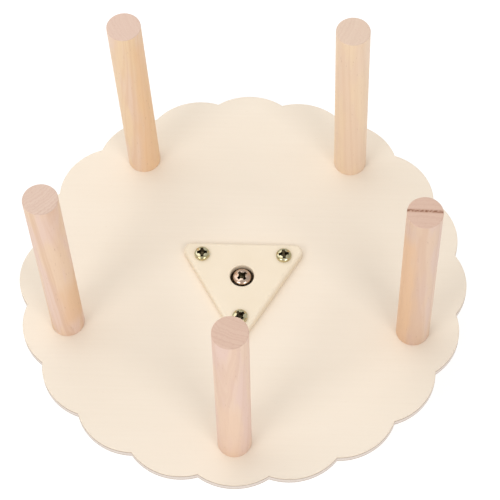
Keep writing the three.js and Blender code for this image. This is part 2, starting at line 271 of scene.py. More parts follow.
def slab(name, outline, wall, holes, wall_look=0):
    """A flat closed body. outline(inset) is a loop, wall its (inset, height) steps from the lower
    face to the upper, and each hole is (x, y, steps, segments, through)."""
    bm = bmesh.new()
    rings = [add_ring(bm, outline(inset), height) for inset, height in wall]
    for index in range(len(rings) - 1):
        flat = index == 0 or index == len(rings) - 2
        join_rings(bm, rings[index], rings[index + 1], 0 if flat else wall_look)
    lower, upper = loop_edges(bm, rings[0]), loop_edges(bm, rings[-1])
    for x, y, steps, segments, through in holes:
        centre = Vector((x, y))
        walls = []
        for radius, height in steps:
            circle = [centre + on_circle(radius, angle) for angle in angles_round(segments)]
            walls.append(add_ring(bm, circle, height))
        for index in range(len(walls) - 1):
            join_rings(bm, walls[index], walls[index + 1], wall_look)
        lower += loop_edges(bm, walls[0])
        if through:
            upper += loop_edges(bm, walls[-1])
        else:
            tip = [bm.verts.new((x * MM, y * MM, steps[-1][1] * MM))]
            join_rings(bm, walls[-1], tip, wall_look)
    for edges in (lower, upper):
        bmesh.ops.triangle_fill(bm, edges=edges, use_beauty=True, use_dissolve=False)
    return make_object(name, bm)


def turned(name, profile, segments, place=(0, 0, 0), thread=None, closed=False, stretch=None):
    """A (radius, height) profile turned about Z through place. Profile points on the thread's
    radius are cut by its helical groove. stretch(radius, angle) gives the reach, as for a hexagon."""
    bm = bmesh.new()
    centre = Vector(place)
    rings = []
    for radius, height in profile:
        if radius < 1e-6:
            rings.append([bm.verts.new((centre + Vector((0, 0, height))) * MM)])
            continue
        ring = []
        for angle in angles_round(segments):
            reach = radius
            if stretch:
                reach = stretch(radius, angle)
            if thread and abs(radius - thread["shank"]) < 1e-6:
                phase = (height / thread["pitch"] - angle / (2 * math.pi)) % 1
                reach -= 0.5 * thread["pitch"] * abs(2 * phase - 1)
            point = on_circle(reach, angle)
            ring.append(bm.verts.new((centre + Vector((point.x, point.y, height))) * MM))
        rings.append(ring)
    for index in range(len(rings) - 1):
        join_rings(bm, rings[index], rings[index + 1])
    if closed:
        join_rings(bm, rings[-1], rings[0])
    return make_object(name, bm)


def washer_profile(inner, outer, bottom, top, easing):
    """A flat ring's closed profile with all four corners eased."""
    corners = [(inner, bottom, easing), (outer, bottom, easing), (outer, top, easing), (inner, top, easing)]
    return rounded(corners, closed=True)


def cut_away(piece, cutters, cut_look=0):
    """Takes the cutters out of the piece and removes them. The cut faces take that material index."""
    for cutter in cutters:
        for face in cutter.data.polygons:
            face.material_index = cut_look
        modifier = piece.modifiers.new("cut", "BOOLEAN")
        modifier.operation = "DIFFERENCE"
        modifier.solver = "EXACT"
        modifier.object = cutter
    graph = bpy.context.evaluated_depsgraph_get()
    cut = bpy.data.meshes.new_from_object(piece.evaluated_get(graph))
    piece.modifiers.clear()
    piece.data = cut
    cut.shade_smooth()
    cut.set_sharp_from_angle(angle=math.radians(SHARP))
    for cutter in cutters:
        bpy.data.objects.remove(cutter)
    return piece


def cross_cutters(reach, depth, place, turn, up=1):
    """Two crossed wings and a centre cone, which cut the cross-shaped recess in a screw's head."""
    wing_width = 0.27 * reach
    cutters = []
    for quarter in (0, math.pi / 2):
        bm = bmesh.new()
        rings = []
        for length, width, height in (
            (0.34 * reach, 0.8 * wing_width, -depth),
            (reach, wing_width, 0),
            (reach, wing_width, 0.5),
        ):
            corners = [(length, width), (-length, width), (-length, -width), (length, -width)]
            points = [turned_by(Vector(corner), turn + quarter) for corner in corners]
            spots = [Vector(place) + Vector((point.x, point.y, up * height)) for point in points]
            rings.append([bm.verts.new(spot * MM) for spot in spots])
        for index in range(len(rings) - 1):
            join_rings(bm, rings[index], rings[index + 1])
        bm.faces.new(rings[0])
        bm.faces.new(rings[-1])
        cutters.append(make_object("cutter", bm))
    cone = [(0, -up * 1.2 * depth), (0.62 * reach, 0), (0.62 * reach, up * 0.5), (0, up * 0.5)]
    cutters.append(turned("cutter", cone, 24, place))
    return cutters


# ---- Materials ----


def srgb(red, green, blue):
    """A colour given as 0 to 255 screen values, in the linear values that shaders take."""
    def linear(value):
        share = value / 255
        return share / 12.92 if share <= 0.04045 else ((share + 0.055) / 1.055) ** 2.4
    return (linear(red), linear(green), linear(blue), 1.0)


class Look:
    """A procedural material. Its methods add nodes, and take millimetres of the part's own frame."""

    def __init__(self, name, roughness=0.5, metallic=0.0, specular=0.5):
        self.material = bpy.data.materials.new(name)
        self.material.use_nodes = True
        self.tree = self.material.node_tree
        self.shader = self.tree.nodes["Principled BSDF"]
        self.shader.inputs["Roughness"].default_value = roughness
        self.shader.inputs["Metallic"].default_value = metallic
        self.shader.inputs["Specular IOR Level"].default_value = specular
        self.place = self.node("TexCoord").outputs["Object"]

    def node(self, kind, inputs=None, **settings):
        made = self.tree.nodes.new("ShaderNode" + kind)
        for name, value in settings.items():
            setattr(made, name, value)
        for name, value in (inputs or {}).items():
            if isinstance(value, bpy.types.NodeSocket):
                self.tree.links.new(value, made.inputs[name])
            else:
                made.inputs[name].default_value = value
        return made

    def millimetres(self, centre=(0, 0, 0), turn=0.0):
        """The part's coordinates in millimetres about centre, turned about Z."""
        shifted = self.node("VectorMath", {0: self.place, 1: Vector(centre) * MM}, operation="SUBTRACT")
        scaled = self.node("VectorMath", {0: shifted.outputs[0], "Scale": 1 / MM}, operation="SCALE")
        turning = {"Vector": scaled.outputs[0], "Angle": turn}
        return self.node("VectorRotate", turning, rotation_type="Z_AXIS").outputs[0]

    def scaled(self, vector, scale):
        return self.node("VectorMath", {0: vector, 1: scale}, operation="MULTIPLY").outputs[0]

    def noise(self, vector, detail=2.0, roughness=0.5):
        made = self.node("TexNoise", {
            "Vector": vector, "Scale": 1.0, "Detail": detail, "Roughness": roughness,
        })
        return made.outputs["Fac"]

    def noise_along(self, value, scale, detail=2.0, roughness=0.5):
        made = self.node("TexNoise", {
            "W": value, "Scale": scale, "Detail": detail, "Roughness": roughness,
        }, noise_dimensions="1D")
        return made.outputs["Fac"]

    def math(self, operation, first, second=0.0):
        return self.node("Math", {0: first, 1: second}, operation=operation).outputs[0]

    def within(self, value, low, high, start=0.0, end=1.0):
        """Goes smoothly from start to end as value goes from low to high."""
        made = self.node("MapRange", {
            "Value": value, "From Min": low, "From Max": high, "To Min": start, "To Max": end,
        }, interpolation_type="SMOOTHSTEP")
        return made.outputs[0]

    def mix(self, share, first, second):
        made = self.node("Mix", {0: share, 6: first, 7: second}, data_type="RGBA", blend_type="MIX")
        return made.outputs[2]

    def ramp(self, value, stops):
        made = self.node("ValToRGB", {"Fac": value})
        elements = made.color_ramp.elements
        while len(elements) < len(stops):
            elements.new(0.5)
        for element, (position, colour) in zip(elements, stops):
            element.position = position
            element.color = colour
        return made.outputs["Color"]

    def axes(self, vector):
        return self.node("SeparateXYZ", {0: vector}).outputs

    def colour(self, value):
        self.tree.links.new(value, self.shader.inputs["Base Color"])

    def rough(self, value):
        self.tree.links.new(value, self.shader.inputs["Roughness"])

    def bump(self, height, distance, strength=1.0):
        """Relief of that many millimetres."""
        made = self.node("Bump", {"Height": height, "Distance": distance * MM, "Strength": strength})
        self.tree.links.new(made.outputs[0], self.shader.inputs["Normal"])


def veneer_look(name, pale, deep, turn=0.0):
    """A smooth plywood face: long faint streaks, soft clouds and a few short flecks."""
    look = Look(name, roughness=0.62, specular=0.3)
    along = look.millimetres(turn=turn)
    clouds = look.noise(look.scaled(along, (0.012, 0.03, 0.03)), detail=3)
    streaks = look.noise(look.scaled(along, (0.012, 0.55, 0.55)), detail=4, roughness=0.6)
    fibres = look.noise(look.scaled(along, (0.11, 3.2, 3.2)), detail=2)
    pores = look.noise(look.scaled(along, (0.3, 2.4, 2.4)), detail=1)
    tone = look.math("ADD", look.math("MULTIPLY", clouds, 0.45), look.math("MULTIPLY", streaks, 0.4))
    tone = look.math("ADD", tone, look.math("MULTIPLY", fibres, 0.15))
    face = look.ramp(tone, [(0.3, deep), (0.68, pale)])
    flecks = look.within(pores, 0.72, 0.8, 0.0, 0.22)
    look.colour(look.mix(flecks, face, srgb(222, 196, 164)))
    look.rough(look.within(streaks, 0.3, 0.7, 0.56, 0.66))
    look.bump(fibres, 0.02, 0.35)
    return look.material


def ply_edge_look(name, bottom, top):
    """The cut edge of three plies: dark end grain in the face plies, a pale core between them and a
    pale skin at both faces."""
    look = Look(name, roughness=0.75, specular=0.2)
    here = look.millimetres()
    height = look.axes(here)["Z"]
    wobble = look.math("MULTIPLY", look.noise(look.scaled(here, (0.12, 0.12, 0.12)), detail=2), 0.24)
    level = look.math("ADD", look.math("SUBTRACT", height, wobble), 0.12)
    grain = look.noise(look.scaled(here, (1.6, 1.6, 5.0)), detail=3, roughness=0.65)
    core = look.ramp(grain, [(0.3, srgb(218, 204, 194)), (0.7, srgb(238, 227, 217))])
    faces = look.ramp(grain, [(0.3, srgb(160, 136, 118)), (0.7, srgb(196, 174, 157))])
    upper = look.within(level, top - VENEER - 0.12, top - VENEER + 0.12)
    lower = look.within(level, bottom + VENEER - 0.12, bottom + VENEER + 0.12, 1.0, 0.0)
    plies = look.mix(look.math("MAXIMUM", upper, lower), core, faces)
    skin_top = look.within(level, top - 0.26, top - 0.14)
    skin_bottom = look.within(level, bottom + 0.14, bottom + 0.26, 1.0, 0.0)
    skin = look.math("MAXIMUM", skin_top, skin_bottom)
    look.colour(look.mix(skin, plies, srgb(240, 226, 206)))
    look.bump(grain, 0.05, 0.6)
    return look.material


HEART_FADE_IN, HEART_FADE_OUT = 6, 9      # half the height over which a tan strip begins and ends


def peg_look(name, peg, pith_turn, pith, lean, warm, pink, deep, ring_strength, end, end_rings, strip,
             seed, line=None):
    """A dowel cut from one board. Growth rings about a distant, leaning pith show as faint lines on
    the sawn end and as soft streaks down the side. The strip is (direction, colour, lowest and
    highest level): a tan stretch of heartwood. The line is a dark, broken stripe that crosses the
    sawn end that far from its middle."""
    low, high = lows_and_highs(peg)
    look = Look(name, roughness=0.58, specular=0.35)
    plain = look.millimetres((*centre_of(peg).xy, low.z))
    here = look.millimetres((*centre_of(peg).xy, low.z), pith_turn)
    x, y, z = (look.axes(here)[axis] for axis in ("X", "Y", "Z"))
    swirl = look.noise(look.scaled(here, (0.16, 0.16, 0.014)), detail=2)
    across = look.math("ADD", look.math("ADD", x, look.math("MULTIPLY", z, lean)), pith)
    across = look.math("ADD", across, look.math("MULTIPLY", swirl, 3.5))
    distance = look.math("SQRT", look.math(
        "ADD", look.math("MULTIPLY", across, across), look.math("MULTIPLY", y, y)))
    ring_place = look.math("ADD", distance, seed)
    rings = look.noise_along(ring_place, 0.45, detail=3, roughness=0.55)
    late_wood = look.within(rings, 0.42, 0.72)
    fine_rings = look.noise_along(ring_place, 1.7, detail=2)
    patches = look.noise(look.scaled(here, (0.13, 0.13, 0.02)), detail=2)
    fibres = look.noise(look.scaled(here, (2.6, 2.6, 0.05)), detail=3, roughness=0.6)
    pores = look.noise(look.scaled(here, (1.5, 1.5, 0.24)), detail=1)

    ground = look.mix(look.within(patches, 0.4, 0.6), warm, pink)
    ground = look.mix(look.math("MULTIPLY", late_wood, ring_strength), ground, deep)
    veins = look.math("MULTIPLY", look.within(fine_rings, 0.5, 0.75), 0.16 * ring_strength)
    ground = look.mix(veins, ground, deep)
    direction, tan, lowest, highest = strip
    facing = look.node("VectorMath", {
        0: plain, 1: (math.cos(direction) / PEG_RADIUS, math.sin(direction) / PEG_RADIUS, 0),
    }, operation="DOT_PRODUCT").outputs["Value"]
    ragged = look.noise(look.scaled(plain, (0.2, 0.2, 0.035)), detail=3)
    reach = look.math("ADD", facing, look.math("MULTIPLY", ragged, 0.7))
    above = look.within(z, lowest - HEART_FADE_IN, lowest + HEART_FADE_IN)
    below = look.within(z, highest - HEART_FADE_OUT, highest + HEART_FADE_OUT, 1.0, 0.0)
    heart = look.math("MULTIPLY", look.within(reach, 0.8, 1.3, 0.0, 0.7), look.math("MULTIPLY", above, below))
    ground = look.mix(heart, ground, tan)
    ground = look.mix(look.within(fibres, 0.4, 0.72, 0.0, 0.16), ground, deep)
    ground = look.mix(look.within(pores, 0.7, 0.78, 0.0, 0.4), ground, srgb(184, 140, 108))

    top = high.z - low.z
    sawn = look.within(z, top - PEG_EASING - 0.25, top - 0.05)
    wander = look.noise(look.scaled(here, (0.5, 0.5, 0.0)), detail=3, roughness=0.6)
    ragged_place = look.math("ADD", ring_place, look.math("MULTIPLY", wander, 2.4))
    end_ring_lines = look.noise_along(ragged_place, 0.7, detail=3, roughness=0.6)
    sawn_wood = look.mix(look.within(end_ring_lines, 0.44, 0.6, 0.0, end_rings), end, srgb(206, 168, 148))
    fine_lines = look.within(fine_rings, 0.52, 0.68, 0.0, 0.5 * end_rings)
    sawn_wood = look.mix(fine_lines, sawn_wood, srgb(200, 160, 140))
    specks = look.noise(look.scaled(here, (0.9, 0.9, 0.9)), detail=3, roughness=0.7)
    speckled = look.within(specks, 0.56, 0.72, 0.0, 0.25 + end_rings)
    sawn_wood = look.mix(speckled, sawn_wood, srgb(204, 162, 142))
    if line is not None:
        off_line = look.math("ABSOLUTE", look.math("SUBTRACT", x, line))
        broken = look.noise(look.scaled(here, (0.9, 0.75, 0.0)), detail=2)
        halo = look.within(off_line, 0.7, 1.7, 0.6, 0.0)
        halo = look.math("MULTIPLY", halo, look.within(broken, 0.3, 0.55, 0.6, 1.0))
        sawn_wood = look.mix(halo, sawn_wood, srgb(194, 152, 130))
        core = look.within(off_line, 0.3, 0.95, 1.0, 0.0)
        core = look.math("MULTIPLY", core, look.within(broken, 0.42, 0.54, 0.25, 1.0))
        sawn_wood = look.mix(core, sawn_wood, srgb(144, 100, 76))
    look.colour(look.mix(sawn, ground, sawn_wood))
    look.rough(look.within(sawn, 0.0, 1.0, 0.55, 0.72))
    grain_relief = look.math("ADD", fibres, look.math("MULTIPLY", rings, 0.5))
    look.bump(grain_relief, 0.03, 0.4)
    return look.material


def moulded_look(name, pale, deep):
    """Satin moulded plastic: a fine mould texture, a slightly uneven tint and a painted brown shadow
    round the foot of the cover plate's hole, where the gap round the pivot screw's head lies in shade."""
    look = Look(name, roughness=0.42, specular=0.45)
    here = look.millimetres()
    cloud = look.noise(look.scaled(here, (0.05, 0.05, 0.05)), detail=2)
    grain = look.noise(look.scaled(here, (3.2, 3.2, 3.2)), detail=2)
    tint = look.math("ADD", look.math("MULTIPLY", cloud, 0.85), look.math("MULTIPLY", grain, 0.15))
    x, y, z = look.axes(here)
    squares = look.math("ADD", look.math("MULTIPLY", x, x), look.math("MULTIPLY", y, y))
    from_axis = look.math("SQRT", squares)
    # Painted shade: a brown band low on the wall of the cover plate's hole stands for the shadow in the gap
    # round the pivot screw's head.
    in_hole = look.within(from_axis, PLATE_HOLE + 0.1, PLATE_HOLE + 0.5, 1.0, 0.0)
    above_platter = look.within(z, PLATTER_TOP - 0.4, PLATTER_TOP - 0.1)
    hole_shade_top = PLATTER_TOP + HOLE_SHADE_HEIGHT
    near_foot = look.within(z, hole_shade_top - 0.2 * HOLE_SHADE_HEIGHT, hole_shade_top + 0.3 * HOLE_SHADE_HEIGHT, 1.0, 0.0)
    hole_shade = look.math("MULTIPLY", in_hole, look.math("MULTIPLY", above_platter, near_foot))
    look.colour(look.mix(hole_shade, look.ramp(tint, [(0.35, deep), (0.65, pale)]), srgb(104, 78, 48)))
    look.rough(look.within(cloud, 0.3, 0.7, 0.38, 0.46))
    look.bump(grain, 0.012, 0.35)
    return look.material


def metal_look(name, bright, tint, roughness):
    """Plated or ground metal: a tint that drifts, fine scuffs and uneven polish."""
    look = Look(name, roughness=roughness, metallic=1.0)
    here = look.millimetres()
    drift = look.noise(look.scaled(here, (0.35, 0.35, 0.35)), detail=2)
    scuffs = look.noise(look.scaled(here, (2.2, 2.2, 2.2)), detail=3, roughness=0.65)
    look.colour(look.mix(look.within(drift, 0.35, 0.65), bright, tint))
    look.rough(look.within(scuffs, 0.3, 0.75, 0.7 * roughness, 1.6 * roughness))
    look.bump(scuffs, 0.008, 0.35)
    return look.material


def rubber_look(name, dark, worn):
    """Matt moulded rubber with a fine speckle."""
    look = Look(name, roughness=0.85, specular=0.3)
    here = look.millimetres()
    speckle = look.noise(look.scaled(here, (2.0, 2.0, 2.0)), detail=3)
    look.colour(look.ramp(speckle, [(0.3, dark), (0.75, worn)]))
    look.rough(look.within(speckle, 0.3, 0.7, 0.78, 0.92))
    look.bump(speckle, 0.04, 0.5)
    return look.material


platter_face = veneer_look("platter_face", srgb(246, 234, 217), srgb(243, 230, 212))
platter_edge = ply_edge_look("platter_edge", PLATTER_BOTTOM, PLATTER_TOP)
board_face = veneer_look("board_face", srgb(243, 228, 205), srgb(236, 217, 190), turn=math.radians(90))
board_edge = ply_edge_look("board_edge", BOARD_BOTTOM, BOARD_TOP)
plate_plastic = moulded_look("plate_plastic", srgb(244, 230, 207), srgb(241, 226, 201))
cover_plating = metal_look("cover_screw_plating", srgb(224, 217, 184), srgb(198, 186, 144), 0.17)
pivot_plating = metal_look("pivot_screw_plating", srgb(228, 204, 184), srgb(206, 178, 158), 0.2)
recess_shade = metal_look("screw_recess_shade", srgb(92, 82, 60), srgb(58, 50, 36), 0.35)
plain_zinc = metal_look("zinc_plating", srgb(196, 197, 196), srgb(178, 180, 182), 0.3)
ground_steel = metal_look("bearing_steel", srgb(188, 189, 190), srgb(170, 171, 174), 0.16)
cage_nylon = moulded_look("cage_nylon", srgb(236, 229, 212), srgb(226, 217, 196))
foot_rubber = rubber_look("foot_rubber", srgb(30, 30, 31), srgb(54, 54, 55))
seal_rubber = rubber_look("seal_rubber", srgb(70, 53, 36), srgb(98, 77, 54))


def settle(piece, node, *looks):
    """The piece stands for that CAD node, rides on its body and takes its materials."""
    for look in looks:
        piece.data.materials.append(look)
    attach(piece, body_of[node])
    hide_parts(node)


# ---- Platter and pegs ----


def make_platter():
    countersink = [
        (PEG_SCREW["head"] + 2 * FIT_GAP, PLATTER_BOTTOM),
        (PEG_SCREW["head"] + FIT_GAP, PLATTER_BOTTOM),
        (PEG_SCREW["shank"] + FIT_GAP, PLATTER_BOTTOM + PEG_SCREW["rise"]),
        (PEG_SCREW["shank"] + FIT_GAP, PLATTER_TOP),
    ]
    holes = [(0, 0, hole_wall(BOSS_RADIUS + FIT_GAP, PLATTER_BOTTOM, PLATTER_TOP, 0.1), 64, True)]
    for angle in angles_round(3):
        place = on_circle(SCREW_CIRCLE, angle)
        holes.append((place.x, place.y, hole_wall(SCREW_HOLE, PLATTER_BOTTOM, PLATTER_TOP, 0.1), 32, True))
    for number in range(1, PEG_COUNT + 1):
        place = centre_of(f"peg_screw_{number}")
        holes.append((place.x, place.y, countersink, 32, True))
    wall = slab_wall(PLATTER_BOTTOM, PLATTER_TOP, PLATTER_EDGE)
    settle(slab("platter_wood", scalloped, wall, holes, wall_look=1), "platter", platter_face, platter_edge)


def peg_stand(number):
    """Where a dowel's foot is centred, and how far its top stands off plumb."""
    low, high = lows_and_highs(f"peg_{number}")
    foot = centre_of(f"peg_screw_{number}")
    foot.z = low.z
    lean = low + high - 2 * foot
    lean.z = 0
    return foot, lean


def make_peg(number, look):
    """A dowel: eased ends, a blind pilot hole, and an outside that leans over its height."""
    node = f"peg_{number}"
    low, high = lows_and_highs(node)
    foot_centre, lean = peg_stand(number)
    radius, height = (high.x - low.x - abs(lean.x)) / 2, high.z - low.z
    pilot = PEG_SCREW["shank"] + FIT_GAP
    side = [(radius, height * step / PEG_SIDE_STEPS) for step in range(1, PEG_SIDE_STEPS)]
    foot = rounded([(pilot, 0), (radius, 0, 0.3), (radius, height / PEG_SIDE_STEPS)])
    head = rounded([side[-1], (radius, height, PEG_EASING), (radius / 2, height)])
    profile = foot[:-1] + [Vector(point) for point in side] + head[1:]
    profile += [Vector((0, height)), Vector((0, PEG_PILOT_TOP)), Vector((pilot, PEG_PILOT_TOP - pilot))]
    peg = turned(f"{node}_wood", profile, 96, foot_centre, closed=True)
    for vertex in peg.data.vertices:
        from_axis = vertex.co / MM - foot_centre
        if from_axis.z > PEG_PILOT_TOP + 1 or from_axis.xy.length > radius / 2:
            vertex.co += lean * (from_axis.z / height) * MM
    settle(peg, node, look)


# Each dowel's wood: which way its rings run, how far off and how slanted the pith is, and its tones.
PEG_WOODS = [
    dict(
        pith_turn=math.radians(112), pith=60, lean=0.035, seed=3.0,
        warm=srgb(237, 207, 184), pink=srgb(234, 203, 188), deep=srgb(222, 184, 160), ring_strength=0.45,
        end=srgb(221, 190, 171), end_rings=0.3,
        strip=(math.radians(-105), srgb(238, 204, 176), -10, 60),
    ),
    dict(
        pith_turn=math.radians(-88), pith=90, lean=0.02, seed=11.0,
        warm=srgb(229, 199, 174), pink=srgb(226, 197, 180), deep=srgb(216, 178, 152), ring_strength=0.45,
        end=srgb(219, 187, 168), end_rings=0.22, line=0.3,
        strip=(math.radians(208), srgb(238, 197, 156), -10, 112),
    ),
    dict(
        pith_turn=math.radians(20), pith=50, lean=0.03, seed=23.0,
        warm=srgb(243, 217, 187), pink=srgb(240, 213, 188), deep=srgb(226, 192, 160), ring_strength=0.25,
        end=srgb(227, 202, 182), end_rings=0.14,
        strip=(math.radians(150), srgb(244, 214, 178), -10, 110),
    ),
    dict(
        pith_turn=math.radians(150), pith=45, lean=0.04, seed=31.0,
        warm=srgb(241, 212, 177), pink=srgb(238, 209, 186), deep=srgb(226, 186, 146), ring_strength=0.4,
        end=srgb(225, 197, 180), end_rings=0.16,
        strip=(math.radians(-30), srgb(240, 200, 156), -10, 122),
    ),
    dict(
        pith_turn=math.radians(46), pith=40, lean=0.05, seed=43.0,
        warm=srgb(238, 208, 180), pink=srgb(235, 205, 188), deep=srgb(220, 180, 146), ring_strength=0.5,
        end=srgb(224, 198, 181), end_rings=0.3,
        strip=(math.radians(-32), srgb(234, 194, 154), 14, 52),
    ),
]

make_platter()
for peg_number, wood in enumerate(PEG_WOODS, start=1):
    make_peg(peg_number, peg_look(f"peg_{peg_number}_grain", f"peg_{peg_number}", **wood))

# ---- Cover plate and bearing housing ----


def make_cover_plate():
    holes = [(0, 0, hole_wall(PLATE_HOLE, PLATTER_TOP, PLATE_TOP, PLATE_HOLE_EASING), 64, True)]
    for angle in angles_round(3):
        place = on_circle(SCREW_CIRCLE, angle)
        holes.append((place.x, place.y, hole_wall(SCREW_HOLE, PLATTER_TOP, PLATE_TOP), 32, True))
    wall = slab_wall(PLATTER_TOP, PLATE_TOP, PLATE_EDGE, bottom_easing=0.15)
    settle(slab("cover_plate_shell", clipped_triangle, wall, holes), "cover_plate", plate_plastic)


def make_housing():
    """The flange with the boss that holds the bearing, as one moulding."""
    boss = rounded([
        (BOSS_BORE + 1, FLANGE_BOTTOM),
        (BOSS_BORE, FLANGE_BOTTOM, 0.4),
        (BOSS_BORE, BEARING_BOTTOM, 0.15),
        (BOSS_POCKET, BEARING_BOTTOM, 0.15),
        (BOSS_POCKET, PLATTER_TOP, 0.3),
        (BOSS_RADIUS, PLATTER_TOP, 0.4),
        (BOSS_RADIUS, PLATTER_BOTTOM, 0.1),
        (BOSS_RADIUS + 0.2, PLATTER_BOTTOM),
    ])
    holes = [(0, 0, boss, 64, True)]
    for angle in angles_round(3):
        place = on_circle(SCREW_CIRCLE, angle)
        holes.append((place.x, place.y, hole_wall(SCREW_HOLE, FLANGE_BOTTOM, PLATTER_BOTTOM), 32, True))
    wall = slab_wall(FLANGE_BOTTOM, PLATTER_BOTTOM, 0.15, bottom_easing=PLATE_EDGE)
    settle(slab("bearing_housing_shell", clipped_triangle, wall, holes), "bearing_housing", plate_plastic)


make_cover_plate()
make_housing()

# ---- Screws and nuts ----


def pan_head(name, screw, node, look, turn, up=1):
    """A pan-head machine screw whose head is at the top of its node, or at the bottom with up=-1."""
    low, high = lows_and_highs(node)
    length = high.z - low.z - screw["rise"]
    shank, head, rise = screw["shank"], screw["head"], screw["rise"]
    steps = round(8 * (length - 0.8) / screw["pitch"])
    thread = [(shank, -length + 0.6 + (length - 0.8) * step / steps) for step in range(steps + 1)]
    profile = [Vector((0, -length)), Vector((shank - 0.6, -length))] + [Vector(point) for point in thread]
    shoulder = 0.44 * rise
    quarter = [math.pi / 2 * step / DOME_STEPS for step in range(DOME_STEPS)]
    dome = [
        Vector((head * math.cos(angle), shoulder + (rise - shoulder) * math.sin(angle))) for angle in quarter
    ] + [Vector((0, rise))]
    profile += rounded([(shank - 0.05, 0), (head, 0, 0.2), (head, shoulder)])[:-1] + dome
    place = Vector(((low.x + high.x) / 2, (low.y + high.y) / 2, high.z - rise if up > 0 else low.z + rise))
    made = turned(name, [(point.x, up * point.y) for point in profile], 72, place, thread=screw)
    tip = place + Vector((0, 0, up * rise))
    made.data.materials.append(look)
    made.data.materials.append(recess_shade)
    settle(cut_away(made, cross_cutters(screw["reach"], 0.74 * rise, tip, turn, up), cut_look=1), node)


def flat_head(name, screw, node, look, turn):
    """A countersunk wood screw that comes from below, its point up."""
    low, high = lows_and_highs(node)
    length = high.z - low.z
    shank, head, rise = screw["shank"], screw["head"], screw["rise"]
    top = length - 2.4 * shank
    steps = round(8 * (top - rise) / screw["pitch"])
    thread = [Vector((shank, rise + 0.4 + (top - rise - 0.4) * step / steps)) for step in range(steps + 1)]
    profile = [Vector((0, 0))] + rounded([(head - 0.5, 0), (head, 0, 0.12), (shank + 0.02, rise)])
    profile += thread + [Vector((0, length))]
    place = Vector(((low.x + high.x) / 2, (low.y + high.y) / 2, low.z))
    made = turned(name, profile, 48, place, thread=screw)
    made.data.materials.append(look)
    made.data.materials.append(recess_shade)
    settle(cut_away(made, cross_cutters(screw["reach"], 0.8 * rise, place, turn, up=-1), cut_look=1), node)


def hex_nut(node, bore, look):
    """A hexagon nut with both faces chamfered and its bore countersunk."""
    low, high = lows_and_highs(node)
    place = centre_of(node)
    height = high.z - low.z
    corner = NUT_APOTHEM / math.cos(math.pi / 6)
    turn = math.atan2(place.y, place.x)

    def flats(radius, angle):
        if radius <= NUT_APOTHEM:
            return radius
        part = (angle - turn) % (math.pi / 3) - math.pi / 6
        return min(radius, NUT_APOTHEM / math.cos(part))

    bottom, top = -height / 2, height / 2
    profile = [
        (bore + 0.4, bottom), (NUT_APOTHEM - 0.25, bottom), (corner, bottom + 0.45),
        (corner, top - 0.45), (NUT_APOTHEM - 0.25, top), (bore + 0.4, top),
        (bore, top - 0.4), (bore, bottom + 0.4),
    ]
    settle(turned(f"{node}_hex", profile, 72, place, closed=True, stretch=flats), node, look)


SCREW_TURNS = (math.radians(35), math.radians(8), math.radians(3))
for number, turn in enumerate(SCREW_TURNS, start=1):
    pan_head(f"cover_screw_{number}_pan", COVER_SCREW, f"cover_screw_{number}", cover_plating, turn)
    hex_nut(f"housing_nut_{number}", COVER_SCREW["shank"] + THREAD_GAP, plain_zinc)
pan_head("pivot_screw_pan", PIVOT_SCREW, "pivot_screw", pivot_plating, math.radians(40))
for number in range(1, PEG_COUNT + 1):
    node = f"peg_screw_{number}"
    flat_head(f"{node}_flat", PEG_SCREW, node, plain_zinc, math.radians(20 * number))
for number in range(1, FOOT_COUNT + 1):
    node = f"foot_screw_{number}"
    pan_head(f"{node}_pan", FOOT_SCREW, node, plain_zinc, math.radians(25 * number), up=-1)

# ---- Ball bearing ----


